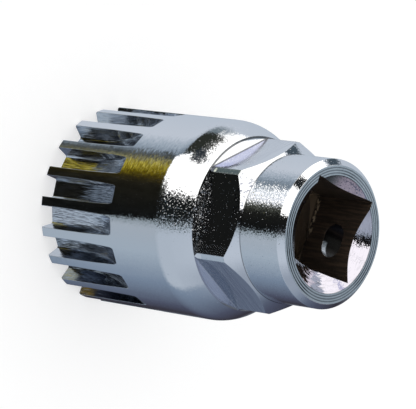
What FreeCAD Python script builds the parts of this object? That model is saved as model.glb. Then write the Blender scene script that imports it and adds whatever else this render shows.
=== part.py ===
"""Bottom bracket tool: a one-piece splined socket for cartridge bottom brackets.

It stands on its splined end with the origin at the centre of that end and +Z
up, so the square drive socket opens upwards.  +X is the wall of the socket
that has the ball recess.  Millimetres.
"""

import FreeCAD
import Part
import math
import os

import Sketcher

NODE = "bottom_bracket_tool"

# Driving dimensions: millimetres and degrees.
SIZES = {
    # turned body
    "tool_length": 49.0,
    "body_diameter": 32.0,
    "body_height": 26.3,
    "shoulder_blend": 6.8,
    "shoulder_angle": 26.3,
    "corner_step": 2.4,
    "corner_height": 38.45,
    "corner_bevel_angle": 45.0,
    "neck_step": 1.95,
    "neck_bevel": 0.9,
    "edge_break": 0.25,
    # spindle bore, drilled from the splined end
    "slot_wall": 3.4,
    "bore_depth": 35.7,
    "bore_tip_angle": 118.0,
    "bore_break": 0.6,
    # splines
    "tooth_count": 20,
    "tooth_width": 1.5,
    "tooth_height": 2.6,
    "slot_length": 16.35,
    "cutter_radius": 25.0,
    "cutter_corner": 0.22,
    "tooth_turn": -2.0,
    # wrench flats
    "flat_depth": 1.6,
    "hex_height": 32.25,
    "hex_turn": 9.1,
    # square drive socket, broached a little off the axis
    "drive_square": 13.2,
    "drive_offset": 0.8,
    "pilot_diameter": 12.0,
    "ring_width": 1.6,
    "mouth_angle": 112.0,
    "recess_offset": 0.5,
    "recess_width": 5.4,
    "recess_height": 3.8,
    "recess_drop": 5.75,
}

# Sizes that follow from the ones above, in the sheet's own formulas.
DERIVED = {
    "corner_diameter": "body_diameter - 2 * corner_step",
    "hex_width": "corner_diameter - 2 * flat_depth",
    "neck_diameter": "corner_diameter - 2 * neck_step",
    "mouth_diameter": "neck_diameter - 2 * neck_bevel - 2 * ring_width",
    "bore_diameter": "body_diameter - 2 * tooth_height - 2 * slot_wall",
}

doc = FreeCAD.newDocument("BottomBracketTool")
sheet = doc.addObject("Spreadsheet::Sheet", "sizes")
cells = dict(SIZES)
for alias, formula in DERIVED.items():
    cells[alias] = f"={formula}"
for row, alias in enumerate(cells, start=1):
    sheet.set(f"A{row}", alias)
    sheet.setAlias(f"B{row}", alias)
for row, content in enumerate(cells.values(), start=1):
    sheet.set(f"B{row}", str(content))
doc.recompute()
SIZE = {alias: float(sheet.get(alias)) for alias in cells}

body = doc.addObject("PartDesign::Body", NODE)
body.Label = NODE


def vector(x, y):
    """A point of a sketch."""
    return FreeCAD.Vector(x, y, 0)


def origin_plane(role):
    """The body's own origin plane of that role."""
    for feature in body.Origin.OriginFeatures:
        if feature.Role == role:
            return feature
    raise ValueError(role)


def add_sketch(name, role, rise=None, turn=None):
    """A sketch on an origin plane, raised and turned by expressions."""
    sketch = body.newObject("Sketcher::SketchObject", name)
    sketch.AttachmentSupport = [(origin_plane(role), "")]
    sketch.MapMode = "FlatFace"
    if rise:
        sketch.setExpression("AttachmentOffset.Base.z", rise)
    if turn:
        sketch.setExpression("AttachmentOffset.Rotation.Angle", turn)
    doc.recompute()
    return sketch


def drive(sketch, name, constraint, expression):
    """Add a named constraint whose value follows the sheet."""
    index = sketch.addConstraint(constraint)
    sketch.renameConstraint(index, name)
    sketch.setExpression(f"Constraints.{name}", expression)


def add_polyline(sketch, points):
    """A closed ring of lines through the points, joined end to end."""
    count = len(points)
    for start, end in zip(points, points[1:] + points[:1]):
        sketch.addGeometry(Part.LineSegment(vector(*start), vector(*end)), False)
    for index in range(count):
        following = (index + 1) % count
        sketch.addConstraint(Sketcher.Constraint("Coincident", index, END, following, START))


def check_sketch(sketch):
    """Stop if a sketch is over- or under-constrained."""
    doc.recompute()
    if sketch.solve() != 0 or not sketch.FullyConstrained:
        raise RuntimeError(f"{sketch.Name} is not fully constrained")


def cut(feature_type, name, sketch, **settings):
    """A cut made from a sketch; it has to take material away."""
    check_sketch(sketch)
    before = body.Shape.Volume
    feature = body.newObject(feature_type, name)
    feature.Profile = sketch
    for key, value in settings.items():
        setattr(feature, key, value)
    doc.recompute()
    if not feature.Shape.Volume < before - 1e-3:
        raise RuntimeError(f"{name} removes nothing")
    return feature


def tangent_blend(radius, angle):
    """How far a blend arc of that turn runs in and along."""
    turn = math.radians(angle)
    return radius * (1 - math.cos(turn)), radius * math.sin(turn)


# Sketcher point numbers of an edge, and the sketch's own origin and axis.
START = 1
END = 2
CENTRE = 3
ORIGIN = (-1, 1)
X_AXIS = -1
Z_DIRECTION = FreeCAD.Vector(0, 0, 1)

# Turned blank: half section in the XZ plane.
body_radius = SIZE["body_diameter"] / 2
corner_radius = SIZE["corner_diameter"] / 2
neck_radius = SIZE["neck_diameter"] / 2
bore_radius = SIZE["bore_diameter"] / 2
mouth_radius = SIZE["mouth_diameter"] / 2
pilot_radius = SIZE["pilot_diameter"] / 2
length = SIZE["tool_length"]
blend_in, blend_along = tangent_blend(SIZE["shoulder_blend"], SIZE["shoulder_angle"])
cone_start = (body_radius - blend_in, SIZE["body_height"] + blend_along)
cone_rise = (cone_start[0] - corner_radius) / math.tan(math.radians(SIZE["shoulder_angle"]))
bevel_rise = (corner_radius - neck_radius) / math.tan(math.radians(SIZE["corner_bevel_angle"]))
mouth_drop = (mouth_radius - pilot_radius) / math.tan(math.radians(SIZE["mouth_angle"] / 2))
tip_rise = (bore_radius - pilot_radius) / math.tan(math.radians(SIZE["bore_tip_angle"] / 2))

# Each edge of the ring with the (radius, height) at which it starts.
PROFILE = {
    "splined_face": (bore_radius + SIZE["bore_break"], 0),
    "outer_break": (body_radius - SIZE["edge_break"], 0),
    "body_wall": (body_radius, SIZE["edge_break"]),
    "shoulder_blend": (body_radius, SIZE["body_height"]),
    "shoulder_cone": cone_start,
    "corner_land": (corner_radius, cone_start[1] + cone_rise),
    "corner_bevel": (corner_radius, SIZE["corner_height"]),
    "neck_wall": (neck_radius, SIZE["corner_height"] + bevel_rise),
    "neck_bevel": (neck_radius, length - SIZE["neck_bevel"]),
    "end_ring": (neck_radius - SIZE["neck_bevel"], length),
    "mouth_cone": (mouth_radius, length),
    "pilot_wall": (pilot_radius, length - mouth_drop),
    "bore_tip": (pilot_radius, SIZE["bore_depth"] + tip_rise),
    "bore_wall": (bore_radius, SIZE["bore_depth"]),
    "bore_break": (bore_radius, SIZE["bore_break"]),
}
EDGE = {name: index for index, name in enumerate(PROFILE)}
SQUARE_TO_AXIS = ("splined_face", "end_ring")
ALONG_AXIS = ("body_wall", "corner_land", "neck_wall", "pilot_wall", "bore_wall")

turned = add_sketch("turned_profile", "XZ_Plane")
ring = list(PROFILE.items())
for (name, start), (following, end) in zip(ring, ring[1:] + ring[:1]):
    if name == "shoulder_blend":
        centre = vector(body_radius - SIZE["shoulder_blend"], SIZE["body_height"])
        circle = Part.Circle(centre, Z_DIRECTION, SIZE["shoulder_blend"])
        sweep = math.radians(SIZE["shoulder_angle"])
        turned.addGeometry(Part.ArcOfCircle(circle, 0, sweep), False)
    else:
        turned.addGeometry(Part.LineSegment(vector(*start), vector(*end)), False)
for (name, start), (following, end) in zip(ring, ring[1:] + ring[:1]):
    kind = "Tangent" if "shoulder_blend" in (name, following) else "Coincident"
    turned.addConstraint(Sketcher.Constraint(kind, EDGE[name], END, EDGE[following], START))
for name in SQUARE_TO_AXIS:
    turned.addConstraint(Sketcher.Constraint("Horizontal", EDGE[name]))
for name in ALONG_AXIS:
    turned.addConstraint(Sketcher.Constraint("Vertical", EDGE[name]))


def radius_of(edge, end, name, value, expression):
    """Radius of one end of a profile edge."""
    constraint = Sketcher.Constraint("DistanceX", *ORIGIN, EDGE[edge], end, value)
    drive(turned, name, constraint, expression)


def height_of(edge, end, name, value, expression):
    """Height of one end of a profile edge above the splined end."""
    constraint = Sketcher.Constraint("DistanceY", *ORIGIN, EDGE[edge], end, value)
    drive(turned, name, constraint, expression)


def slant_of(edge, name, degrees, expression):
    """Direction of a profile edge, turned from the radius."""
    drive(turned, name, Sketcher.Constraint("Angle", EDGE[edge], math.radians(degrees)), expression)


turned.addConstraint(Sketcher.Constraint("PointOnObject", EDGE["splined_face"], START, X_AXIS))
radius_of(
    "splined_face", START, "bore_mouth",
    bore_radius + SIZE["bore_break"], "sizes.bore_diameter / 2 + sizes.bore_break",
)
radius_of(
    "splined_face", END, "face_radius",
    body_radius - SIZE["edge_break"], "sizes.body_diameter / 2 - sizes.edge_break",
)
radius_of("body_wall", START, "body_radius", body_radius, "sizes.body_diameter / 2")
height_of("body_wall", START, "break_height", SIZE["edge_break"], "sizes.edge_break")
height_of("body_wall", END, "body_height", SIZE["body_height"], "sizes.body_height")
blend = Sketcher.Constraint("Radius", EDGE["shoulder_blend"], SIZE["shoulder_blend"])
drive(turned, "blend_radius", blend, "sizes.shoulder_blend")
slant_of(
    "shoulder_cone", "cone_angle",
    90 + SIZE["shoulder_angle"], "90 deg + sizes.shoulder_angle * 1 deg",
)
radius_of("corner_land", START, "corner_radius", corner_radius, "sizes.corner_diameter / 2")
height_of("corner_land", END, "corner_height", SIZE["corner_height"], "sizes.corner_height")
slant_of(
    "corner_bevel", "bevel_angle",
    90 + SIZE["corner_bevel_angle"], "90 deg + sizes.corner_bevel_angle * 1 deg",
)
radius_of("neck_wall", START, "neck_radius", neck_radius, "sizes.neck_diameter / 2")
height_of(
    "neck_wall", END, "neck_height",
    length - SIZE["neck_bevel"], "sizes.tool_length - sizes.neck_bevel",
)
radius_of(
    "end_ring", START, "ring_radius",
    neck_radius - SIZE["neck_bevel"], "sizes.neck_diameter / 2 - sizes.neck_bevel",
)
height_of("end_ring", START, "end_height", length, "sizes.tool_length")
radius_of("end_ring", END, "mouth_radius", mouth_radius, "sizes.mouth_diameter / 2")
slant_of(
    "mouth_cone", "mouth_angle",
    270 - SIZE["mouth_angle"] / 2, "270 deg - sizes.mouth_angle / 2 * 1 deg",
)
radius_of("pilot_wall", START, "pilot_radius", pilot_radius, "sizes.pilot_diameter / 2")
slant_of(
    "bore_tip", "tip_angle",
    SIZE["bore_tip_angle"] / 2 - 90, "sizes.bore_tip_angle / 2 * 1 deg - 90 deg",
)
height_of("bore_wall", START, "bore_depth", SIZE["bore_depth"], "sizes.bore_depth")
radius_of("bore_wall", START, "bore_radius", bore_radius, "sizes.bore_diameter / 2")
height_of("bore_wall", END, "bore_break", SIZE["bore_break"], "sizes.bore_break")
check_sketch(turned)

blank = body.newObject("PartDesign::Revolution", "turned_blank")
blank.Profile = turned
blank.ReferenceAxis = (turned, ["V_Axis"])
blank.Angle = 360
doc.recompute()

# Wrench flats: what lies outside the hexagon is milled away above the shoulder.
HEX_SIDES = 6
HEX_CIRCLE = HEX_SIDES
OUTER_CIRCLE = HEX_SIDES + 1
hexagon_radius = SIZE["hex_width"] / math.sqrt(3)
flats = add_sketch("hexagon", "XY_Plane", "sizes.hex_height", "sizes.hex_turn")
corners = []
for corner in range(HEX_SIDES):
    angle = 2 * math.pi * (corner + 0.5) / HEX_SIDES
    corners.append((hexagon_radius * math.cos(angle), hexagon_radius * math.sin(angle)))
add_polyline(flats, corners)
flats.addGeometry(Part.Circle(vector(0, 0), Z_DIRECTION, hexagon_radius), True)
flats.addGeometry(Part.Circle(vector(0, 0), Z_DIRECTION, SIZE["body_diameter"]), False)
for circle_index in (HEX_CIRCLE, OUTER_CIRCLE):
    flats.addConstraint(Sketcher.Constraint("Coincident", circle_index, CENTRE, *ORIGIN))
for side in range(HEX_SIDES):
    flats.addConstraint(Sketcher.Constraint("PointOnObject", side, START, HEX_CIRCLE))
for side in range(1, HEX_SIDES):
    flats.addConstraint(Sketcher.Constraint("Equal", 0, side))
LAST_SIDE = HEX_SIDES - 1
flats.addConstraint(Sketcher.Constraint("Vertical", LAST_SIDE))
half_width = Sketcher.Constraint("DistanceX", *ORIGIN, LAST_SIDE, START, SIZE["hex_width"] / 2)
drive(flats, "half_width", half_width, "sizes.hex_width / 2")
outer = Sketcher.Constraint("Radius", OUTER_CIRCLE, SIZE["body_diameter"])
drive(flats, "clear_radius", outer, "sizes.body_diameter")
cut("PartDesign::Pocket", "wrench_flats", flats, Type="ThroughAll", Reversed=True)

# One spline slot: the section of the cutter's rim, with walls that point at the axis.
WALL_BELOW, RIM, WALL_ABOVE, CORNER_ABOVE, FLOOR, CORNER_BELOW, CUTTER_AXIS = range(7)
AXIS_STUB = 5
RUN_OUT_TURN = 120
slot_half_angle = math.pi / SIZE["tooth_count"] - math.asin(SIZE["tooth_width"] / SIZE["body_diameter"])
floor_radius = body_radius - SIZE["tooth_height"]
clear_radius = body_radius + SIZE["tooth_height"]
wall_start = floor_radius + SIZE["cutter_corner"]
cutter_place = floor_radius + SIZE["cutter_radius"]
SLOT_RUN_START = (
    "sizes.slot_length - sqrt(2 * sizes.cutter_radius * sizes.tooth_height - sizes.tooth_height ^ 2)"
)
slot = add_sketch("slot_section", "XY_Plane", SLOT_RUN_START, "sizes.tooth_turn + 180 / sizes.tooth_count")
slope = math.tan(slot_half_angle)
half_floor = wall_start * slope - SIZE["cutter_corner"]
add_polyline(
    slot,
    [
        (wall_start, -wall_start * slope),
        (clear_radius, -clear_radius * slope),
        (clear_radius, clear_radius * slope),
        (wall_start, wall_start * slope),
        (floor_radius, half_floor),
        (floor_radius, -half_floor),
    ],
)
slot.addConstraint(Sketcher.Constraint("Vertical", RIM))
for wall in (WALL_BELOW, WALL_ABOVE):
    slot.addConstraint(Sketcher.Constraint("PointOnObject", *ORIGIN, wall))
slot.addConstraint(Sketcher.Constraint("Symmetric", FLOOR, START, FLOOR, END, X_AXIS))
slot.addConstraint(Sketcher.Constraint("Symmetric", WALL_BELOW, START, WALL_ABOVE, END, X_AXIS))
floor = Sketcher.Constraint("DistanceX", *ORIGIN, FLOOR, START, floor_radius)
drive(slot, "floor_radius", floor, "sizes.body_diameter / 2 - sizes.tooth_height")
rim = Sketcher.Constraint("DistanceX", *ORIGIN, WALL_BELOW, END, clear_radius)
drive(slot, "clear_radius", rim, "sizes.body_diameter / 2 + sizes.tooth_height")
corner_in = Sketcher.Constraint("DistanceX", FLOOR, START, WALL_ABOVE, END, SIZE["cutter_corner"])
drive(slot, "corner_in", corner_in, "sizes.cutter_corner")
corner_up = Sketcher.Constraint("DistanceY", FLOOR, START, WALL_ABOVE, END, SIZE["cutter_corner"])
drive(slot, "corner_up", corner_up, "sizes.cutter_corner")
drive(
    slot,
    "half_angle",
    Sketcher.Constraint("Angle", WALL_ABOVE, math.pi + slot_half_angle),
    "180 deg + 180 deg / sizes.tooth_count - asin(sizes.tooth_width / sizes.body_diameter)",
)
axis_stub = Part.LineSegment(vector(cutter_place, 0), vector(cutter_place, AXIS_STUB))
slot.addGeometry(axis_stub, True)
slot.addConstraint(Sketcher.Constraint("Vertical", CUTTER_AXIS))
slot.addConstraint(Sketcher.Constraint("PointOnObject", CUTTER_AXIS, START, X_AXIS))
place = Sketcher.Constraint("DistanceX", *ORIGIN, CUTTER_AXIS, START, cutter_place)
drive(slot, "cutter_place", place, "sizes.body_diameter / 2 - sizes.tooth_height + sizes.cutter_radius")
slot.addConstraint(Sketcher.Constraint("DistanceY", CUTTER_AXIS, START, CUTTER_AXIS, END, AXIS_STUB))

straight_run = cut("PartDesign::Pocket", "slot_run", slot, Type="ThroughAll")
run_out = cut(
    "PartDesign::Groove",
    "slot_run_out",
    slot,
    ReferenceAxis=(slot, ["Axis0"]),
    Angle=RUN_OUT_TURN,
    Midplane=True,
)
slot_volume = body.Shape.Volume
spline = body.newObject("PartDesign::PolarPattern", "spline")
spline.Originals = [straight_run, run_out]
spline.Axis = (turned, ["V_Axis"])
spline.Angle = 360
spline.setExpression("Occurrences", "sizes.tooth_count")
body.Tip = spline
doc.recompute()
if not body.Shape.Volume < slot_volume - 1:
    raise RuntimeError("the spline pattern cuts nothing")

# Square drive socket, broached through the web into the bore.
half_square = SIZE["drive_square"] / 2
square = add_sketch("drive_section", "XY_Plane", "sizes.tool_length")
square.setExpression("AttachmentOffset.Base.y", "sizes.drive_offset")
add_polyline(
    square,
    [
        (-half_square, -half_square),
        (half_square, -half_square),
        (half_square, half_square),
        (-half_square, half_square),
    ],
)
FRONT, RIGHT, BACK, LEFT = range(4)
for side in (FRONT, BACK):
    square.addConstraint(Sketcher.Constraint("Horizontal", side))
for side in (RIGHT, LEFT):
    square.addConstraint(Sketcher.Constraint("Vertical", side))
square.addConstraint(Sketcher.Constraint("Symmetric", FRONT, START, RIGHT, END, *ORIGIN))
square.addConstraint(Sketcher.Constraint("Equal", FRONT, RIGHT))
width = Sketcher.Constraint("DistanceX", FRONT, START, FRONT, END, SIZE["drive_square"])
drive(square, "side", width, "sizes.drive_square")
cut("PartDesign::Pocket", "drive_socket", square, Type="ThroughAll")

# Recess for the ball of the drive: an oval hole through the +X wall.
LEFT_CAP, LOWER_SIDE, RIGHT_CAP, UPPER_SIDE = range(4)
recess = add_sketch("recess_section", "YZ_Plane")
cap_radius = SIZE["recess_height"] / 2
cap_step = SIZE["recess_width"] / 2 - cap_radius
middle = SIZE["recess_offset"]
level = SIZE["tool_length"] - SIZE["recess_drop"]


def cap(along, first_angle):
    """Half circle that closes one end of the oval, from that angle on."""
    circle = Part.Circle(vector(along, level), Z_DIRECTION, cap_radius)
    return Part.ArcOfCircle(circle, first_angle, first_angle + math.pi)


def oval_side(first, last, rise):
    """Straight side of the oval between its two ends."""
    return Part.LineSegment(vector(first, level + rise), vector(last, level + rise))


recess.addGeometry(cap(middle - cap_step, math.pi / 2), False)
recess.addGeometry(oval_side(middle - cap_step, middle + cap_step, -cap_radius), False)
recess.addGeometry(cap(middle + cap_step, -math.pi / 2), False)
recess.addGeometry(oval_side(middle + cap_step, middle - cap_step, cap_radius), False)
for index in range(UPPER_SIDE + 1):
    following = (index + 1) % (UPPER_SIDE + 1)
    recess.addConstraint(Sketcher.Constraint("Tangent", index, END, following, START))
recess.addConstraint(Sketcher.Constraint("Equal", LEFT_CAP, RIGHT_CAP))
recess.addConstraint(Sketcher.Constraint("Horizontal", UPPER_SIDE))
drive(recess, "radius", Sketcher.Constraint("Radius", LEFT_CAP, cap_radius), "sizes.recess_height / 2")
spread = Sketcher.Constraint("DistanceX", LEFT_CAP, CENTRE, RIGHT_CAP, CENTRE, 2 * cap_step)
drive(recess, "spread", spread, "sizes.recess_width - sizes.recess_height")
place = Sketcher.Constraint("DistanceX", *ORIGIN, RIGHT_CAP, CENTRE, middle + cap_step)
drive(
    recess, "place", place,
    "sizes.recess_offset + (sizes.recess_width - sizes.recess_height) / 2",
)
rise = Sketcher.Constraint("DistanceY", *ORIGIN, RIGHT_CAP, CENTRE, level)
drive(recess, "rise", rise, "sizes.tool_length - sizes.recess_drop")
cut("PartDesign::Pocket", "ball_recess", recess, Type="ThroughAll", Reversed=True)

doc.recompute()
for item in doc.Objects:
    if "Invalid" in item.State or "Error" in item.State:
        raise RuntimeError(f"{item.Name} failed")
if body.Shape.isNull() or not body.Shape.isValid():
    raise RuntimeError(f"{NODE} has no valid shape")
if len(body.Shape.Solids) != 1:
    raise RuntimeError(f"{NODE} is not one solid")

os.makedirs("parts", exist_ok=True)
body.Shape.exportStep(f"parts/{NODE}.step")
box = body.Shape.BoundBox
print(NODE, "volume", round(body.Shape.Volume, 1), "faces", len(body.Shape.Faces))
print("box", [round(v, 3) for v in (box.XMin, box.YMin, box.ZMin, box.XMax, box.YMax, box.ZMax)])
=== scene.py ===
"""Looks of the bottom bracket tool: chrome plate that mirrors a soft studio.

Lengths in metres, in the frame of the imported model.  The studio's tones are
display values from 0 to 255, turned into linear ones where they are used, and
the plate's colours are linear.  Directions are azimuth and elevation in
degrees, azimuth from +X towards +Y.
"""

import math
from types import SimpleNamespace

import bpy
from mathutils import Matrix, Vector

MM = 0.001

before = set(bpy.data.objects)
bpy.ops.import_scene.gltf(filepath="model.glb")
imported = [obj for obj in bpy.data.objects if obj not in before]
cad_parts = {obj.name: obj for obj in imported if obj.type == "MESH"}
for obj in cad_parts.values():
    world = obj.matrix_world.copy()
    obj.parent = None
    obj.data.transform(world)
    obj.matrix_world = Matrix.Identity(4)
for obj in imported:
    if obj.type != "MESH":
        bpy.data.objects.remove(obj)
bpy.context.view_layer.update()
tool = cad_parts["bottom_bracket_tool"]

# Camera: long lens, rolled so that the standing tool points to the right.
CAMERA_PLACE = Vector((-336.406, -74.58, 354.328)) * MM
CAMERA_AZIMUTH = -77.1591
CAMERA_ELEVATION = 43.986
CAMERA_ROLL = 97.625
CAMERA_LENS = 259.615
SENSOR_WIDTH = 36.0
CLIP_START = 0.01
VIEW_AZIMUTH = CAMERA_AZIMUTH + 270

STUDIO_LEVEL = 1.08
ROOM_LEVEL = 0.9

# The studio that the chrome mirrors: colour by azimuth, from 0 to 360.
STUDIO = [
    (0, (90, 95, 106)),
    (14, (140, 154, 166)),
    (30, (178, 188, 201)),
    (95, (188, 196, 208)),
    (112, (150, 163, 177)),
    (125, (105, 118, 131)),
    (131, (115, 128, 142)),
    (138, (205, 212, 221)),
    (153, (215, 220, 230)),
    (162, (75, 78, 72)),
    (175, (25, 26, 25)),
    (201, (14, 16, 17)),
    (206, (128, 140, 148)),
    (213, (158, 168, 180)),
    (243, (154, 168, 183)),
    (282, (115, 131, 152)),
    (324, (72, 77, 96)),
    (348, (50, 48, 56)),
    (360, (90, 95, 106)),
]
WHITE = (295, 295, 295)  # brighter than the display's own white

# Panels of the studio: azimuth from and to, lowest elevation, highest elevation at
# each end, soft edge, colour.
PANELS = {
    "low_shade": (-20, 198, -92, -56, -56, 6, (92, 102, 114)),
    "low_shade_rear": (248, 300, -63, -48, -48, 4, (58, 66, 72)),
    "rear_shade": (212, 275, -38, 80, 80, 10, (168, 179, 193)),
    "rear_light": (215, 268, 16, 80, 80, 48, (180, 190, 204)),
    "rear_grey": (258, 300, 5, 60, 60, 36, (142, 152, 168)),
    "far_light": (290, 340, 44.5, 62, 62, 2, (128, 141, 166)),
    "lilac_shade": (294, 318, 34, 43.5, 43.5, 3, (76, 89, 112)),
    "gap": (172, 200, -29, 12, 12, 4, (22, 26, 27)),
    "side_panel": (74, 128, -10, 80, 80, 3, WHITE),
    "side_panel_top": (50, 76, 14, 80, 80, 3, WHITE),
    "lilac_card": (64, 77, 33, 46, 46, 5, (194, 200, 232)),
    "key_panel": (129, 172, -28, 80, 80, 4, WHITE),
    "key_panel_low": (129, 160, -41, -27, -27, 4, WHITE),
    "grey_card": (80, 100, -29, -11, -7, 12, (110, 122, 130)),
    "black_card": (94, 127, -29, -4.5, 4, 3, (42, 45, 41)),
    "black_card_tip": (118, 136, -6, 2, 6.5, 4, (42, 48, 54)),
    "dark_post": (56, 72, -6, 12, 12, 4, (66, 78, 88)),
}

# Cards close to the tool, which only reflections see.  Tones are given by the azimuth
# of the mirrored ray.
SIDE_TONES = [
    (121, (108, 120, 132)),
    (127, (69, 73, 73)),
    (133, (130, 126, 90)),
    (140, (164, 153, 62)),
    (148, (112, 100, 22)),
    (157, (51, 44, 17)),
    (163, (27, 26, 20)),
    (203, (14, 16, 17)),
]
SIDE_REACH = 100 * MM
SIDE_HEIGHTS = (-120 * MM, -42.5 * MM)
SIDE_LEAN = 11
SIDE_LEAN_START = 175
# A small card above, given by the facings of the bevel that mirrors it
FLAG_FACING = (145, 157)
FLAG_SLOPE = 45
FLAG_REACH = 60 * MM
FLAG_HEIGHTS = (78.3 * MM, 90 * MM)
FLAG_TONE = (38, 42, 44)
# A card in front of the countersink, tones by the azimuth of the place that mirrors them
MOUTH_TONES = [
    (50, (175, 172, 182)),
    (95, (165, 160, 172)),
    (118, (70, 78, 80)),
    (130, (50, 54, 56)),
]
MOUTH_STEP = 2
MOUTH_SLOPE = 56
MOUTH_RADIUS = 8 * MM
MOUTH_HEIGHT = 47.9 * MM
MOUTH_REACH = 60 * MM
MOUTH_HALF_HEIGHT = 7 * MM
# Small cards that the open ends of two slots mirror: place, direction of the card,
# half width and half height in millimetres, tone.
PATCHES = {
    "gold_patch": ((-20.9, -8.4, -19.9), 70.6, 1.7, 2, (134, 112, 44)),
    "grey_patch": ((-11.5, -5.35, -9.3), 34.3, 1.6, 1.7, (150, 158, 160)),
}
# Uneven light of a patterned card: its spots, how much they change the light, and the
# light of the darkest.
CARD_SPOTS = ((420, 2, 0.6), (0.3, 0.7))
CARD_CONTRAST = 1.2
CARD_LEVEL = STUDIO_LEVEL - 0.55

# Where the body mirrors the side card, and the bevel the flag
BODY_RADIUS = 16 * MM
RING_RADIUS = 11.2 * MM
RING_HEIGHT = 48.6 * MM

FLOOR_HALF = 3.0
FLOOR_COLOR = (0.6, 0.6, 0.6, 1)
FLOOR_GLOW = 0.5


def linear(color):
    """Linear RGBA of a display colour from 0 to 255."""
    out = []
    for part in color:
        part = part / 255
        out.append(part / 12.92 if part <= 0.04045 else ((part + 0.055) / 1.055) ** 2.4)
    return (*out, 1.0)


class Nodes:
    """A short way to write a node tree."""

    def __init__(self, tree):
        self.tree = tree

    def add(self, kind, **settings):
        node = self.tree.nodes.new(kind)
        for key, value in settings.items():
            setattr(node, key, value)
        return node

    def put(self, socket, value):
        """Link or set an input."""
        if isinstance(value, bpy.types.NodeSocket):
            self.tree.links.new(value, socket)
        elif value is not None:
            socket.default_value = value

    def math(self, operation, first, second=None, third=None):
        node = self.add("ShaderNodeMath", operation=operation)
        for socket, value in zip(node.inputs, (first, second, third)):
            self.put(socket, value)
        return node.outputs[0]

    def minus(self, first, second):
        return self.math("SUBTRACT", first, second)

    def inverse(self, mask):
        """1 where the mask is 0."""
        return self.math("SUBTRACT", 1.0, mask)

    def absolute(self, value):
        return self.math("ABSOLUTE", value)

    def distance(self, first, second):
        return self.absolute(self.minus(first, second))

    def over(self, value, limit):
        return self.math("GREATER_THAN", value, limit)

    def under(self, value, limit):
        return self.math("LESS_THAN", value, limit)

    def either(self, first, second):
        return self.math("MAXIMUM", first, second)

    def product(self, *factors):
        total = factors[0]
        for factor in factors[1:]:
            total = self.math("MULTIPLY", total, factor)
        return total

    def step(self, value, start, end):
        """0 at start, 1 at end, smooth between them."""
        node = self.add("ShaderNodeMapRange", interpolation_type="SMOOTHSTEP")
        self.put(node.inputs["Value"], value)
        node.inputs["From Min"].default_value = start
        node.inputs["From Max"].default_value = end
        return node.outputs["Result"]

    def band(self, value, low, high, soft):
        """1 between low and high."""
        rise = self.step(value, low - soft / 2, low + soft / 2)
        fall = self.step(value, high + soft / 2, high - soft / 2)
        return self.product(rise, fall)

    def within(self, value, low, high):
        """1 between low and high, with hard edges."""
        return self.product(self.over(value, low), self.under(value, high))

    def mix(self, factor, first, second, kind="RGBA"):
        node = self.add("ShaderNodeMix", data_type=kind)
        self.put(node.inputs["Factor"], factor)
        suffix = "_Color" if kind == "RGBA" else "_Float"
        for socket in node.inputs:
            if socket.identifier == "A" + suffix:
                self.put(socket, first)
            if socket.identifier == "B" + suffix:
                self.put(socket, second)
        for socket in node.outputs:
            if socket.identifier == "Result" + suffix:
                return socket

    def blend(self, factor, first, second):
        return self.mix(factor, first, second, "FLOAT")

    def split(self, vector):
        node = self.add("ShaderNodeSeparateXYZ")
        self.put(node.inputs[0], vector)
        return node.outputs[0], node.outputs[1], node.outputs[2]

    def vector(self, x, y, z):
        node = self.add("ShaderNodeCombineXYZ")
        for socket, value in zip(node.inputs, (x, y, z)):
            self.put(socket, value)
        return node.outputs[0]

    def length(self, x, y):
        squares = self.math("ADD", self.product(x, x), self.product(y, y))
        return self.math("SQRT", squares)

    def degrees(self, x, y):
        """Angle of the direction (x, y)."""
        return self.math("MULTIPLY", self.math("ARCTAN2", y, x), 180 / math.pi)

    def azimuth(self, x, y):
        """The same from 0 to 360."""
        return self.math("FLOORED_MODULO", self.degrees(x, y), 360.0)

    def noise(self, where, scale, detail, roughness=0.5):
        node = self.add("ShaderNodeTexNoise")
        self.put(node.inputs["Vector"], where)
        node.inputs["Scale"].default_value = scale
        node.inputs["Detail"].default_value = detail
        node.inputs["Roughness"].default_value = roughness
        return node

    def shake(self, where, grain):
        """Three unlike noises, each from about -0.5 to 0.5."""
        centred = self.add("ShaderNodeVectorMath", operation="SUBTRACT")
        self.put(centred.inputs[0], self.noise(where, *grain).outputs["Color"])
        centred.inputs[1].default_value = (0.5, 0.5, 0.5)
        return centred.outputs[0]

    def spots(self, where, pattern):
        """0 and 1 in the places that a pattern gives: its noise, and where that starts and ends."""
        grain, (start, end) = pattern
        return self.step(self.noise(where, *grain).outputs["Fac"], start, end)

    def tilted(self, normal, push, amount):
        """The normal pushed over by a vector times an amount."""
        scaled = self.add("ShaderNodeVectorMath", operation="SCALE")
        self.put(scaled.inputs[0], push)
        self.put(scaled.inputs["Scale"], amount)
        total = self.add("ShaderNodeVectorMath", operation="ADD")
        self.put(total.inputs[0], normal)
        self.put(total.inputs[1], scaled.outputs[0])
        unit = self.add("ShaderNodeVectorMath", operation="NORMALIZE")
        self.put(unit.inputs[0], total.outputs[0])
        return unit.outputs[0]

    def stretched(self, x, y, z, shares):
        """Coordinates for a noise, drawn out along the axes with a small share."""
        parts = [part if share == 1 else self.product(part, share)
                 for part, share in zip((x, y, z), shares)]
        return self.vector(*parts)

    def ramp(self, factor, stops):
        node = self.add("ShaderNodeValToRGB")
        self.put(node.inputs["Fac"], factor)
        elements = node.color_ramp.elements
        elements[0].position, elements[0].color = stops[0]
        elements[1].position, elements[1].color = stops[-1]
        for position, color in stops[1:-1]:
            elements.new(position).color = color
        return node.outputs["Color"]


def new_material(name):
    """An empty node material, its nodes and its output."""
    material = bpy.data.materials.new(name)
    material.use_nodes = True
    material.node_tree.nodes.clear()
    nodes = Nodes(material.node_tree)
    return material, nodes, nodes.add("ShaderNodeOutputMaterial")


def new_object(name, verts, faces):
    mesh = bpy.data.meshes.new(name)
    mesh.from_pydata(verts, [], faces)
    item = bpy.data.objects.new(name, mesh)
    bpy.context.collection.objects.link(item)
    return item


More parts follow.
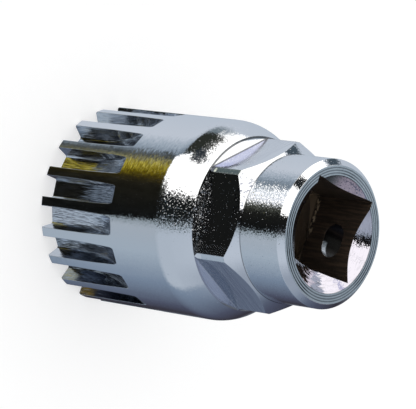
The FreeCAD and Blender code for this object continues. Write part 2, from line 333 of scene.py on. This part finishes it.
def add_camera():
    data = bpy.data.cameras.new("camera")
    data.lens = CAMERA_LENS
    data.sensor_width = SENSOR_WIDTH
    data.sensor_fit = "HORIZONTAL"
    data.clip_start = CLIP_START
    camera = bpy.data.objects.new("camera", data)
    bpy.context.collection.objects.link(camera)
    turn = Matrix.Rotation(math.radians(CAMERA_AZIMUTH), 4, "Z")
    tilt = Matrix.Rotation(math.radians(90 - CAMERA_ELEVATION), 4, "X")
    roll = Matrix.Rotation(math.radians(CAMERA_ROLL), 4, "Z")
    camera.matrix_world = Matrix.Translation(CAMERA_PLACE) @ turn @ tilt @ roll
    bpy.context.scene.camera = camera


def add_world():
    """Plain white light; metal mirrors the studio's panels."""
    world = bpy.data.worlds.new("studio")
    world.use_nodes = True
    world.node_tree.nodes.clear()
    nodes = Nodes(world.node_tree)
    coordinates = nodes.add("ShaderNodeTexCoord")
    x, y, z = nodes.split(coordinates.outputs["Generated"])
    azimuth = nodes.azimuth(x, y)
    elevation = nodes.degrees(nodes.length(x, y), z)
    stops = [(angle / 360, linear(color)) for angle, color in STUDIO]
    color = nodes.ramp(nodes.math("DIVIDE", azimuth, 360.0), stops)
    for west, east, low, high_west, high_east, soft, tone in PANELS.values():
        slope = (high_east - high_west) / (east - west)
        top = nodes.math("MULTIPLY_ADD", azimuth, slope, high_west - slope * west)
        below = nodes.step(nodes.minus(elevation, top), soft / 2, -soft / 2)
        above = nodes.step(elevation, low - soft / 2, low + soft / 2)
        mask = nodes.product(nodes.band(azimuth, west, east, soft), above, below)
        color = nodes.mix(mask, color, linear(tone))
    studio = nodes.add("ShaderNodeBackground")
    nodes.put(studio.inputs["Color"], color)
    studio.inputs["Strength"].default_value = STUDIO_LEVEL
    room = nodes.add("ShaderNodeBackground")
    room.inputs["Color"].default_value = (1, 1, 1, 1)
    rays = nodes.add("ShaderNodeLightPath")
    nodes.put(room.inputs["Strength"], nodes.blend(rays.outputs["Is Camera Ray"], ROOM_LEVEL, 1.0))
    choice = nodes.add("ShaderNodeMixShader")
    nodes.put(choice.inputs[0], rays.outputs["Is Glossy Ray"])
    nodes.put(choice.inputs[1], room.outputs[0])
    nodes.put(choice.inputs[2], studio.outputs[0])
    output = nodes.add("ShaderNodeOutputWorld")
    nodes.put(output.inputs["Surface"], choice.outputs[0])
    world.cycles.sampling_method = "NONE"
    bpy.context.scene.world = world


def add_floor():
    """White floor that keeps the tool's soft shadow."""
    corners = [(x * FLOOR_HALF, y * FLOOR_HALF, 0) for x, y in ((-1, -1), (1, -1), (1, 1), (-1, 1))]
    floor = new_object("floor", corners, [(0, 1, 2, 3)])
    floor.visible_glossy = False
    material, nodes, output = new_material("floor")
    diffuse = nodes.add("ShaderNodeBsdfDiffuse")
    diffuse.inputs["Color"].default_value = FLOOR_COLOR
    glow = nodes.add("ShaderNodeEmission")
    rays = nodes.add("ShaderNodeLightPath")
    lit = nodes.either(rays.outputs["Is Camera Ray"], rays.outputs["Is Transmission Ray"])
    nodes.put(glow.inputs["Strength"], nodes.product(lit, FLOOR_GLOW))
    total = nodes.add("ShaderNodeAddShader")
    nodes.put(total.inputs[0], diffuse.outputs[0])
    nodes.put(total.inputs[1], glow.outputs[0])
    nodes.put(output.inputs["Surface"], total.outputs[0])
    floor.data.materials.append(material)


def tone_at(tones, angle):
    """Tone at an angle between those of a list."""
    for (low, first), (high, last) in zip(tones, tones[1:]):
        if angle <= high:
            share = (angle - low) / (high - low)
            return linear([a + (b - a) * share for a, b in zip(first, last)])
    return linear(tones[-1][1])


def mirrored_place(facing, slope, radius, height, reach):
    """Where the camera's ray lands after a surface facing that way has mirrored it."""
    facing, slope = math.radians(facing), math.radians(slope)
    tilt, turn = math.radians(CAMERA_ELEVATION), math.radians(VIEW_AZIMUTH)
    level = Vector((math.cos(turn), math.sin(turn), 0))
    view = level * math.cos(tilt) + Vector((0, 0, math.sin(tilt)))
    round_axis = Vector((math.cos(facing), math.sin(facing), 0))
    normal = round_axis * math.cos(slope) + Vector((0, 0, math.sin(slope)))
    ray = 2 * view.dot(normal) * normal - view
    return round_axis * radius + Vector((0, 0, height)) + ray * reach


def add_card(name, columns, patterned=False):
    """A glowing strip from columns of (low point, high point, tone)."""
    verts = [point for low, high, _ in columns for point in (low, high)]
    faces = [(i, i + 2, i + 3, i + 1) for i in range(0, len(verts) - 2, 2)]
    card = new_object(name, verts, faces)
    layer = card.data.color_attributes.new("tone", "FLOAT_COLOR", "POINT")
    for index, (_, _, tone) in enumerate(columns):
        layer.data[2 * index].color = tone
        layer.data[2 * index + 1].color = tone
    card.visible_camera = False
    card.visible_diffuse = False
    card.visible_shadow = False
    card.visible_transmission = False
    material, nodes, output = new_material(name)
    reader = nodes.add("ShaderNodeAttribute", attribute_name="tone")
    glow = nodes.add("ShaderNodeEmission")
    nodes.put(glow.inputs["Color"], reader.outputs["Color"])
    level = STUDIO_LEVEL
    if patterned:
        place = nodes.add("ShaderNodeTexCoord").outputs["Object"]
        spots = nodes.spots(place, CARD_SPOTS)
        level = nodes.math("MULTIPLY_ADD", spots, CARD_CONTRAST, CARD_LEVEL)
    nodes.put(glow.inputs["Strength"], level)
    nodes.put(output.inputs["Surface"], glow.outputs[0])
    material.cycles.emission_sampling = "NONE"
    card.data.materials.append(material)


def add_side_card():
    """Gold to black, beside and below the body; its far edge leans."""
    columns = []
    first, last = SIDE_TONES[0][0], SIDE_TONES[-1][0]
    for angle in range(first, last + 1):
        points = []
        for height, lean in zip(SIDE_HEIGHTS, (SIDE_LEAN, 0)):
            share = max(0, (angle - SIDE_LEAN_START) / (last - SIDE_LEAN_START))
            facing = (angle + lean * share + VIEW_AZIMUTH) / 2
            point = mirrored_place(facing, 0, BODY_RADIUS, 0, SIDE_REACH)
            points.append((point.x, point.y, height))
        columns.append((*points, tone_at(SIDE_TONES, angle)))
    add_card("side_card", columns, patterned=True)


def add_mouth_card():
    """Grey card mirrored by one side of the countersink."""
    columns = []
    rise = Vector((0, 0, MOUTH_HALF_HEIGHT))
    for angle in range(MOUTH_TONES[0][0], MOUTH_TONES[-1][0] + 1, MOUTH_STEP):
        facing = angle + 180
        point = mirrored_place(facing, MOUTH_SLOPE, -MOUTH_RADIUS, MOUTH_HEIGHT, MOUTH_REACH)
        columns.append((point - rise, point + rise, tone_at(MOUTH_TONES, angle)))
    add_card("mouth_card", columns)


def add_patches():
    """Small cards, mirrored by the open ends of slot walls."""
    for name, (place, turn, half_width, half_height, tone) in PATCHES.items():
        turn = math.radians(turn)
        side = Vector((math.cos(turn), math.sin(turn), 0)) * half_width
        rise = Vector((0, 0, half_height))
        columns = []
        for middle in (Vector(place) - side, Vector(place) + side):
            columns.append(((middle - rise) * MM, (middle + rise) * MM, linear(tone)))
        add_card(name, columns, patterned=True)


def add_flag():
    """Small black card above, mirrored by the bevel of the drive end."""
    columns = []
    for facing in range(FLAG_FACING[0], FLAG_FACING[1] + 1):
        point = mirrored_place(facing, FLAG_SLOPE, RING_RADIUS, RING_HEIGHT, FLAG_REACH)
        low, high = ((point.x, point.y, height) for height in FLAG_HEIGHTS)
        columns.append((low, high, linear(FLAG_TONE)))
    add_card("flag", columns)


# Where the tool's surfaces lie
SOCKET_EDGE = 6.63 * MM
SOCKET_OFFSET = 0.8 * MM
RECESS_PLACE = (0.5 * MM, 43.25 * MM)
RECESS_HALF = (2.75 * MM, 1.95 * MM)
NECK_EDGE = 11.6 * MM
NECK_TOP = 48.1 * MM
BORE_EDGE = 10.05 * MM
BORE_TOP = 38.5 * MM
SHOULDER_LEVEL = 26.1 * MM
SHOULDER_BLEND = 0.5 * MM
CONE_MIDDLE = 30.0 * MM
CONE_TOP = 33.5 * MM
LEDGE_LEVEL = 32.25 * MM
LEDGE_RIM = 13.55 * MM
HEX_REACH = 12 * MM
HEX_SECTOR = 60.0
HEX_TURN = 9.1
HEX_TOP = 38.5 * MM
FACET_RADIUS = 13.6 * MM
STEP_CORNER = (11.65 * MM, 40.4 * MM)
SLOT_EDGE = 15.93 * MM
SLOT_INNER = 10.7 * MM
SLOT_TOP = 16.5 * MM
TOOTH_COUNT = 20
TOOTH_TURN = -2.0
WALL_ANGLE = 6.15  # from the middle of a slot to its walls
CUTTER_AXIS = (2 * MM, 40 * MM)  # height and radius that the slot walls' arcs turn about
MOUTH_EDGE = 9.12 * MM
MOUTH_LEVEL = 46.5 * MM
RING_LEVEL = 48.95 * MM
GROOVE_FIRST = 9.3 * MM
GROOVE_PITCH = 0.42 * MM
GROOVE_LAST = 10.45 * MM
GROOVE_SHARE = (0.25, 0.75, 0.2)  # of the pitch: start, end and soft edge

# How far a mask reaches from its surface
HEX_MARGIN = 0.05 * MM
FLAT_MARGIN = 0.03 * MM
LEDGE_MARGIN = 0.02 * MM

# Fades: the mask is 0 at the first value and 1 at the second.  Distances first
RIM_FADE = (LEDGE_RIM - 0.15 * MM, LEDGE_RIM)
CONE_TIP_FADE = (LEDGE_RIM - 0.05 * MM, LEDGE_RIM)
FACET_FADE = (0.04 * MM, 0.02 * MM)
CORNER_FADE = (0.16 * MM, 0.1 * MM)
STEP_FADE = (0.1 * MM, 0.05 * MM)
# Fades along y, as the plate is unlike from side to side
UNDERSIDE = (-5 * MM, -8 * MM)
ROUGHER_SIDE = (5.5 * MM, 1.0 * MM)
GOLD_SIDE = (1 * MM, 2.5 * MM)
UPPER_SIDE = (-2 * MM, 2 * MM)
UPPER_RIM = (3 * MM, 4 * MM)
TOP_SLOTS = (8 * MM, 12 * MM)
LOWEST_SLOT = (-10.5 * MM, -12 * MM)
OUTER_FLATS = (6 * MM, 7 * MM)
HIGHLIGHT_SIDE = (0.0, 3 * MM)
GLEAM_SIDE = (0.5 * MM, 0.0)
MOUTH_LOW = (-3 * MM, -5 * MM)
# Fades along x
MOUTH_LEFT = (3 * MM, 0.0)
GLEAM_DEPTH = (7.8 * MM, 7.4 * MM)
# Fades along z
BODY_END = (16 * MM, 17 * MM)
OPEN_END = (4.2 * MM, 2.2 * MM)
SHADED_END = (8 * MM, 11 * MM)
DEEP_LEVEL = (37.8 * MM, 37.4 * MM)

# Bands: low and high end, soft edge.  The first two run along y, the others along z
# Band of the painted gold reflection on the body
GOLD_REFLECTION_BAND = (1.5 * MM, 5.5 * MM, 2 * MM)
MOTTLE_BAND = (-2 * MM, 4.5 * MM, 3 * MM)
CONE_TIP_BAND = (0.15 * MM, 0.85 * MM, 0.2 * MM)  # over the ledge
HIGHLIGHT_BAND = (37.8 * MM, 38.5 * MM, 0.3 * MM)

# Noises: scale, detail and, where it isn't 0.5, the roughness
GRAIN = (5000, 2)
BODY_GRAIN = (4900, 2)
WAVES = (900, 1)
SLOT_GRAIN = (7000, 3, 0.65)
FLAT_GRAIN = (3600, 2)
TURNED_GRAIN = (3000, 2)
PITS = (5100, 1)

# Patterns: a noise, and its values where the spots start and are full
SLOT_STREAKS = ((7500, 3, 0.6), (0.34, 0.58))
SLOT_CUTS = ((3200, 3, 0.7), (0.46, 0.56))
SCRATCHES = ((4200, 2), (0.35, 0.65))
CHATTER = ((3800, 3, 0.65), (0.52, 0.6))
WEAR = ((130, 1), (0.4, 0.6))
STROKES = ((3600, 3, 0.7), (0.42, 0.6))
MOTTLE = ((2600, 2), (0.5, 0.62))
BROACH_LINES = ((2600, 3, 0.6), (0.4, 0.66))
HIGHLIGHT_DOTS = ((1500, 1), (0.42, 0.6))
PIT_LIMITS = (0.67, 0.75)

# Shares of the coordinates that draw a noise out along the marks of a tool: of x, y
# and z, of radius, azimuth and z in the mouth, of azimuth, arc and z in the slots
TURNED = (0.3, 0.3, 1)
ACROSS_FLATS = (0.04, 0.04, 1)
DOWN_SOCKET = (1, 1, 0.08)
AROUND_MOUTH = (1, 0.02 * MM, 0.3)
ALONG_SLOTS = (0.23 * MM, 1, 0.05)

# Rounding of the edges, and how two faces curve
EDGE_ROUNDING = 0.12 * MM
BEVEL_SAMPLES = 4
LEDGE_LEAN = 0.07
CONE_CURVATURE = 45

# How many pits there are, and how much grain, pits and marks tilt the surface
PIT_DENSITY = (0.0, 0.1)  # on the smooth side and on the rough one
PIT_SHARE_CHAMFER = 0.6
PIT_DENSITY_FLAT = 0.035
PIT_TILT = 1.3
NECK_TILT = 0.15
SHOULDER_TILT = (0.02, 0.2)  # on the smooth side and on the rough one
PLAIN_TILT = 0.16
FLAT_TILT = 0.04
UNDERSIDE_SHARE = 0.45
BETWEEN_SLOTS_SHARE = 0.3
TURNED_TILT = 0.24
BODY_TILT = (0.19, 0.05)  # beside the gold and in it
WAVE_TILT = 0.014
SLOT_TILT = 0.5
FLAT_LINES_TILT = 0.06
MOUTH_TILT = (0.06, 0.3)  # all round and at the low left

# Colours of the plate, of its milled and turned surfaces and of the bare steel, with painted shade,
# highlight and reflection tones among them
PLATE = (0.92, 0.92, 0.92, 1)
# Painted shade on the upper side's slot walls, at the far end of the lowest slots and on the cone
# just over the ledge; also the countersink's chatter marks
PAINTED_SHADE_AND_CHATTER = (0.1, 0.11, 0.125, 1)
# Dark turned grooves in the end ring, and painted shade lines in inner corners and along the ledge
# rim
GROOVE_AND_SHADE_LINE = (0.03, 0.035, 0.04, 1)
MILLED_DARK = (0.2, 0.21, 0.23, 1)
MILLED_BRIGHT = (0.93, 0.95, 0.98, 1)
# Painted shade on the slot walls of the lower side, and a lighter painted tone on those of the top
# slots
WALL_SHADE_LOWER = (0.2, 0.225, 0.285, 1)
WALL_LIT_TOP = (0.45, 0.5, 0.56, 1)
WALL_CUT = (0.05, 0.055, 0.07, 1)
# Painted reflection: gold-brown strokes where the body mirrors the gold side card
GOLD_REFLECTION_STROKE = (0.36, 0.3, 0.22, 1)
MOTTLE_COLOR = (0.2, 0.215, 0.27, 1)
# Painted shade with a lilac tint in the countersink, dimming the white it mirrors
MOUTH_SHADE_TINT = (0.63, 0.6, 0.65, 1)
# Painted reflection: olive tint on the hexagon's corner facets of the upper side
FACET_REFLECTION_TINT = (0.5, 0.52, 0.44, 1)
SCRATCH = (0.5, 0.5, 0.58, 1)
GLEAM = (1, 0.98, 0.95, 1)
STEEL_DARK = linear((44, 36, 29))
STEEL_LIGHT = linear((74, 60, 48))
# Painted highlight: light dots on one side of the socket
STEEL_PAINTED_HIGHLIGHT = linear((190, 172, 146))
STEEL_DEEP = linear((142, 124, 104))
RECESS = linear((44, 38, 32))

# How strongly a colour covers what is below it.  The first four pairs are for the lower
# side and for the upper one
STREAKS_ON_WALL = (0.12, 0.35)
CUTS_ON_WALL = (0.4, 0.3)
# Shares of the painted shade lines in the inner corners and along the ledge rim
CORNER_SHADE_SHARE = (0.0, 0.7)
RIM_SHADE_SHARE = (0.2, 0.8)
OPEN_END_SHARE = 0.8
SHADED_END_SHARE = 0.75
GOLD_REFLECTION_SHARE = 0.55
MOTTLE_SHARE = 0.85
# Chatter marks in the countersink, heavier at the low left as painted shade
CHATTER_SHARE = (0.15, 0.85)  # all round and at the low left
SCRATCH_SHARE = (0.2, 0.45)  # on the other flats and on the underside
# Share of the painted shade line in the step below the neck
STEP_SHADE_SHARE = 0.6
GROOVE_WEAR = (0.55, 1.0)  # where the groove is worn and where it is fresh

# Roughness of the shader, and how much less metallic the bare steel is
ROUGH_PLATE = 0.05
ROUGH_SLOT = 0.14
ROUGH_LOWER_WALL = 0.16
ROUGH_OUTER_FLAT = 0.17
ROUGH_STEEL = 0.5
ROUGH_RECESS = 0.3
STEEL_DULLNESS = 0.8


def find_surfaces(nodes):
    """Masks that are 1 on one surface of the tool, and the coordinates of a point."""
    x, y, z = nodes.split(nodes.add("ShaderNodeTexCoord").outputs["Object"])
    radius = nodes.length(x, y)
    azimuth = nodes.degrees(x, y)
    at = SimpleNamespace(x=x, y=y, z=z, radius=radius, azimuth=azimuth, point=nodes.vector(x, y, z))

    # Bare steel: the drive square, the bore and the hole in the square's wall
    off_middle = nodes.either(nodes.absolute(x), nodes.distance(y, SOCKET_OFFSET))
    in_socket = nodes.under(off_middle, SOCKET_EDGE)
    in_bore = nodes.product(nodes.under(radius, BORE_EDGE), nodes.under(z, BORE_TOP))
    at.bare = nodes.either(in_socket, in_bore)
    at.recess = nodes.product(
        nodes.under(nodes.distance(y, RECESS_PLACE[0]), RECESS_HALF[0]),
        nodes.under(nodes.distance(z, RECESS_PLACE[1]), RECESS_HALF[1]),
        nodes.under(radius, NECK_EDGE),
        nodes.over(x, SOCKET_EDGE),
    )

    # Slots and their walls
    in_height = nodes.under(z, SLOT_TOP)
    at.slot = nodes.product(nodes.within(radius, SLOT_INNER, SLOT_EDGE), in_height)
    pitch = 360 / TOOTH_COUNT
    place = nodes.math("FRACT", nodes.math("DIVIDE", nodes.minus(azimuth, TOOTH_TURN), pitch))
    beside_floor = nodes.over(nodes.distance(place, 0.5), WALL_ANGLE / pitch)
    at.wall = nodes.product(at.slot, beside_floor)

    # Hexagon: flats, ledges, the facets between the flats, and its inner corners
    from_corner = nodes.minus(azimuth, HEX_TURN - HEX_SECTOR / 2)
    in_sector = nodes.math("FLOORED_MODULO", from_corner, HEX_SECTOR)
    leaning = nodes.math("RADIANS", nodes.minus(in_sector, HEX_SECTOR / 2))
    past_flat = nodes.minus(nodes.product(radius, nodes.math("COSINE", leaning)), HEX_REACH)
    from_flat = nodes.absolute(past_flat)
    at.over_ledge = nodes.minus(z, LEDGE_LEVEL)
    on_hex = nodes.product(nodes.over(at.over_ledge, -HEX_MARGIN), nodes.under(z, HEX_TOP))
    at.flat = nodes.product(on_hex, nodes.under(from_flat, FLAT_MARGIN))
    at.ledge = nodes.product(
        nodes.within(at.over_ledge, -LEDGE_MARGIN, LEDGE_MARGIN),
        nodes.over(past_flat, -LEDGE_MARGIN),
    )
    at.ledge_rim = nodes.product(at.ledge, nodes.step(radius, *RIM_FADE))
    at.facet = nodes.product(on_hex, nodes.step(nodes.distance(radius, FACET_RADIUS), *FACET_FADE))
    at.corner = nodes.product(
        on_hex,
        nodes.step(from_flat, *CORNER_FADE),
        nodes.step(at.over_ledge, *CORNER_FADE),
    )

    # Turned faces from the shoulder to the end
    at.upper = nodes.over(z, SHOULDER_LEVEL)
    at.shoulder = nodes.product(
        nodes.step(z, SHOULDER_LEVEL, SHOULDER_LEVEL + SHOULDER_BLEND),
        nodes.under(z, HEX_TOP),
        nodes.inverse(at.flat),
    )
    at.cone = nodes.product(
        nodes.under(z, CONE_TOP), nodes.inverse(at.ledge), nodes.inverse(at.flat))
    at.chamfer = nodes.product(
        nodes.within(z, HEX_TOP, STEP_CORNER[1]), nodes.over(radius, NECK_EDGE))
    at.neck = nodes.within(z, STEP_CORNER[1], NECK_TOP)
    at.step = nodes.product(
        nodes.step(nodes.distance(radius, STEP_CORNER[0]), *STEP_FADE),
        nodes.step(nodes.distance(z, STEP_CORNER[1]), *STEP_FADE),
    )
    at.ring = nodes.over(z, RING_LEVEL)
    at.mouth = nodes.product(
        nodes.under(radius, MOUTH_EDGE), nodes.over(z, MOUTH_LEVEL), nodes.inverse(at.bare))
    return at


def find_marks(nodes, at):
    """Sides of the tool, and coordinates drawn out along the marks of the machining."""
    at.underside = nodes.step(at.y, *UNDERSIDE)
    at.upper_side = nodes.step(at.y, *UPPER_SIDE)
    at.low_left = nodes.product(nodes.step(at.y, *MOUTH_LOW), nodes.step(at.x, *MOUTH_LEFT))
    ends_share = nodes.blend(nodes.step(at.z, *BODY_END), BETWEEN_SLOTS_SHARE, 1.0)
    at.body = nodes.product(nodes.inverse(at.upper), ends_share)
    arc = nodes.length(nodes.minus(at.z, CUTTER_AXIS[0]), nodes.minus(at.radius, CUTTER_AXIS[1]))
    at.turned = nodes.stretched(at.x, at.y, at.z, TURNED)
    at.across_flats = nodes.stretched(at.x, at.y, at.z, ACROSS_FLATS)
    at.around_mouth = nodes.stretched(at.radius, at.azimuth, at.z, AROUND_MOUTH)
    at.along_slots = nodes.stretched(at.azimuth, nodes.product(arc, at.wall), at.z, ALONG_SLOTS)
    at.down_socket = nodes.stretched(at.x, at.y, at.z, DOWN_SOCKET)


def plate_normal(nodes, at):
    """Rounded edges, plate grain with a few deeper pits, and the marks of the cutters."""
    bevel = nodes.add("ShaderNodeBevel", samples=BEVEL_SAMPLES)
    bevel.inputs["Radius"].default_value = EDGE_ROUNDING
    outward = nodes.vector(at.x, at.y, 0.0)
    ledge_lean = nodes.product(at.ledge, LEDGE_LEAN / HEX_REACH)
    normal = nodes.tilted(bevel.outputs["Normal"], outward, ledge_lean)
    rise = nodes.either(nodes.minus(at.z, CONE_MIDDLE), 0.0)
    normal = nodes.tilted(normal, (0, 0, 1), nodes.product(at.cone, rise, CONE_CURVATURE))

    # Grain and pits of the plate above the body
    rougher = nodes.product(nodes.step(at.y, *ROUGHER_SIDE), nodes.inverse(at.underside))
    pitted = nodes.either(at.shoulder, nodes.product(at.chamfer, PIT_SHARE_CHAMFER))
    density = nodes.product(pitted, nodes.blend(rougher, *PIT_DENSITY))
    density = nodes.either(density, nodes.product(at.flat, PIT_DENSITY_FLAT))
    pits = nodes.math("ADD", nodes.noise(at.point, *PITS).outputs["Fac"], density)
    pits = nodes.product(nodes.step(pits, *PIT_LIMITS), at.upper)
    shoulder_tilt = nodes.product(at.shoulder, nodes.blend(rougher, *SHOULDER_TILT))
    grain = nodes.math("ADD", nodes.product(at.neck, NECK_TILT), shoulder_tilt)
    milled = nodes.either(at.flat, at.ledge)
    grain = nodes.math("ADD", grain, nodes.blend(milled, PLAIN_TILT, FLAT_TILT))
    grain = nodes.product(grain, nodes.blend(at.underside, 1.0, UNDERSIDE_SHARE))
    depth = nodes.math("ADD", grain, nodes.product(pits, PIT_TILT))
    normal = nodes.tilted(normal, nodes.shake(at.point, GRAIN), nodes.product(depth, at.upper))

    # Grain of the body leans sideways only, so that the gold band keeps clean ends
    gold_side = nodes.step(at.y, *GOLD_SIDE)
    turned_tilt = nodes.product(gold_side, TURNED_TILT)
    for spots, tilt in ((at.turned, turned_tilt), (at.point, nodes.blend(gold_side, *BODY_TILT))):
        lean_x, lean_y, _ = nodes.split(nodes.shake(spots, BODY_GRAIN))
        sideways = nodes.vector(lean_x, lean_y, 0.0)
        normal = nodes.tilted(normal, sideways, nodes.product(at.body, tilt))
    normal = nodes.tilted(normal, nodes.shake(at.point, WAVES), WAVE_TILT)

    # Streaks along the slots and across the flats, chatter in the countersink
    streaks = nodes.shake(at.along_slots, SLOT_GRAIN)
    normal = nodes.tilted(normal, streaks, nodes.product(at.slot, SLOT_TILT))
    lines = nodes.shake(at.across_flats, FLAT_GRAIN)
    normal = nodes.tilted(normal, lines, nodes.product(at.flat, FLAT_LINES_TILT))
    mouth_tilt = nodes.product(at.mouth, nodes.blend(at.low_left, *MOUTH_TILT))
    return nodes.tilted(normal, nodes.shake(at.around_mouth, TURNED_GRAIN), mouth_tilt)


def slot_color(nodes, at):
    """Bright milling streaks on the floors; painted shade on the walls, darkest on the upper side,
    with a lighter painted tone in the top slots and plain plate at the open end; painted shade at
    the far end of the lowest slots.
    """
    streak = nodes.spots(at.along_slots, SLOT_STREAKS)
    floor = nodes.mix(streak, MILLED_DARK, MILLED_BRIGHT)
    streak_share = nodes.product(streak, nodes.blend(at.upper_side, *STREAKS_ON_WALL))
    cuts = nodes.spots(at.along_slots, SLOT_CUTS)
    cut_share = nodes.product(cuts, nodes.blend(at.upper_side, *CUTS_ON_WALL))
    # Painted shade on the walls, darkest on the upper side, and a lighter painted tone in the top
    # slots
    wall = nodes.mix(at.upper_side, WALL_SHADE_LOWER, PAINTED_SHADE_AND_CHATTER)
    wall = nodes.mix(nodes.step(at.y, *TOP_SLOTS), wall, WALL_LIT_TOP)
    wall = nodes.mix(streak_share, wall, floor)
    wall = nodes.mix(cut_share, wall, WALL_CUT)
    wall = nodes.mix(nodes.product(nodes.step(at.z, *OPEN_END), OPEN_END_SHARE), wall, PLATE)
    color = nodes.mix(at.wall, floor, wall)
    # Painted shade at the far end of the lowest slots
    shaded_end = nodes.product(
        nodes.step(at.y, *LOWEST_SLOT), nodes.step(at.z, *SHADED_END), SHADED_END_SHARE)
    return nodes.mix(shaded_end, color, PAINTED_SHADE_AND_CHATTER)


def dark_lines(nodes, at):
    """Turned grooves in the end ring, deeper in some places, and painted shade lines in the
    hexagon's inner corners and along the ledge rim, stronger on the upper side, and in the step
    below the neck.
    """
    place = nodes.math("DIVIDE", nodes.minus(at.radius, GROOVE_FIRST), GROOVE_PITCH)
    groove = nodes.band(nodes.math("FRACT", place), *GROOVE_SHARE)
    groove = nodes.product(groove, at.ring, nodes.under(at.radius, GROOVE_LAST))
    groove = nodes.product(groove, nodes.blend(nodes.spots(at.point, WEAR), *GROOVE_WEAR))
    # Painted shade lines in the inner corners and along the ledge rim, stronger on the upper side,
    # and in the step below the neck
    corner = nodes.product(at.corner, nodes.blend(at.upper_side, *CORNER_SHADE_SHARE))
    rim_shade = nodes.product(at.ledge_rim, nodes.blend(at.upper_side, *RIM_SHADE_SHARE))
    lines = nodes.either(corner, nodes.product(at.step, STEP_SHADE_SHARE))
    return nodes.either(groove, nodes.either(lines, rim_shade))


def steel_color(nodes, at):
    """Brown steel with the broach's lines and a painted highlight of light dots on one side; the
    bore below is paler.
    """
    color = nodes.mix(nodes.spots(at.down_socket, BROACH_LINES), STEEL_DARK, STEEL_LIGHT)
    # Painted highlight: a band of light dots on one side
    painted_highlight = nodes.product(
        nodes.band(at.z, *HIGHLIGHT_BAND),
        nodes.spots(at.point, HIGHLIGHT_DOTS),
        nodes.step(at.y, *HIGHLIGHT_SIDE),
    )
    color = nodes.mix(painted_highlight, color, STEEL_PAINTED_HIGHLIGHT)
    return nodes.mix(nodes.step(at.z, *DEEP_LEVEL), color, STEEL_DEEP)


def plate_color(nodes, at):
    """Plate, and over it each surface's own colour and the painted shade, highlight and reflection
    tones, one after the other.
    """
    # Painted reflection: gold-brown strokes in the band where the body mirrors the gold side card
    gold = nodes.product(at.body, nodes.band(at.y, *GOLD_REFLECTION_BAND), GOLD_REFLECTION_SHARE)
    gold_reflection_strokes = nodes.product(nodes.spots(at.turned, STROKES), gold)
    mottle = nodes.product(
        nodes.spots(at.point, MOTTLE), at.chamfer, nodes.band(at.y, *MOTTLE_BAND), MOTTLE_SHARE)
    # Chatter marks in the countersink, heavier at the low left as painted shade
    chatter = nodes.product(
        at.mouth, nodes.spots(at.around_mouth, CHATTER), nodes.blend(at.low_left, *CHATTER_SHARE))
    # Painted shade on the cone just over the ledge, on the upper rim
    cone_tip_shade = nodes.product(
        nodes.step(at.y, *UPPER_RIM),
        nodes.step(at.radius, *CONE_TIP_FADE),
        nodes.band(at.over_ledge, *CONE_TIP_BAND),
    )
    scratches = nodes.product(
        at.flat, nodes.spots(at.across_flats, SCRATCHES), nodes.blend(at.underside, *SCRATCH_SHARE))
    gleam = nodes.product(
        at.recess, nodes.step(at.y, *GLEAM_SIDE), nodes.step(at.x, *GLEAM_DEPTH))
    color = PLATE
    for mask, tint in (
        (at.slot, slot_color(nodes, at)),
        (gold_reflection_strokes, GOLD_REFLECTION_STROKE),
        (mottle, MOTTLE_COLOR),
        # painted shade with a lilac tint in the countersink
        (at.mouth, MOUTH_SHADE_TINT),
        (chatter, PAINTED_SHADE_AND_CHATTER),
        # painted reflection: olive tint on the upper side's corner facets
        (nodes.product(at.facet, at.upper_side), FACET_REFLECTION_TINT),
        (cone_tip_shade, PAINTED_SHADE_AND_CHATTER),
        (scratches, SCRATCH),
        (dark_lines(nodes, at), GROOVE_AND_SHADE_LINE),
        (at.bare, steel_color(nodes, at)),
        (at.recess, RECESS),
        (gleam, GLEAM),
    ):
        color = nodes.mix(mask, color, tint)
    return color


def plate_roughness(nodes, at):
    """Smooth plate; milled, broached and drilled surfaces are rougher."""
    lower_wall = nodes.product(at.wall, nodes.inverse(at.upper_side))
    outer_flat = nodes.product(at.flat, nodes.step(nodes.absolute(at.y), *OUTER_FLATS))
    rough = ROUGH_PLATE
    for mask, value in (
        (at.slot, ROUGH_SLOT),
        (lower_wall, ROUGH_LOWER_WALL),
        (outer_flat, ROUGH_OUTER_FLAT),
        (at.bare, ROUGH_STEEL),
        (at.recess, ROUGH_RECESS),
    ):
        rough = nodes.blend(mask, rough, value)
    return rough


def chrome_plate():
    """Bright plate with fine grain; milled slots, turned ring, bare steel in the socket."""
    material, nodes, output = new_material("chrome_plate")
    at = find_surfaces(nodes)
    find_marks(nodes, at)
    shader = nodes.add("ShaderNodeBsdfPrincipled")
    nodes.put(shader.inputs["Base Color"], plate_color(nodes, at))
    nodes.put(shader.inputs["Roughness"], plate_roughness(nodes, at))
    nodes.put(shader.inputs["Metallic"], nodes.inverse(nodes.product(at.bare, STEEL_DULLNESS)))
    nodes.put(shader.inputs["Normal"], plate_normal(nodes, at))
    nodes.put(output.inputs["Surface"], shader.outputs[0])
    return material


bpy.context.scene.view_settings.view_transform = "Standard"
add_camera()
add_world()
add_floor()
add_side_card()
add_mouth_card()
add_patches()
add_flag()
tool.material_slots[0].material = chrome_plate()
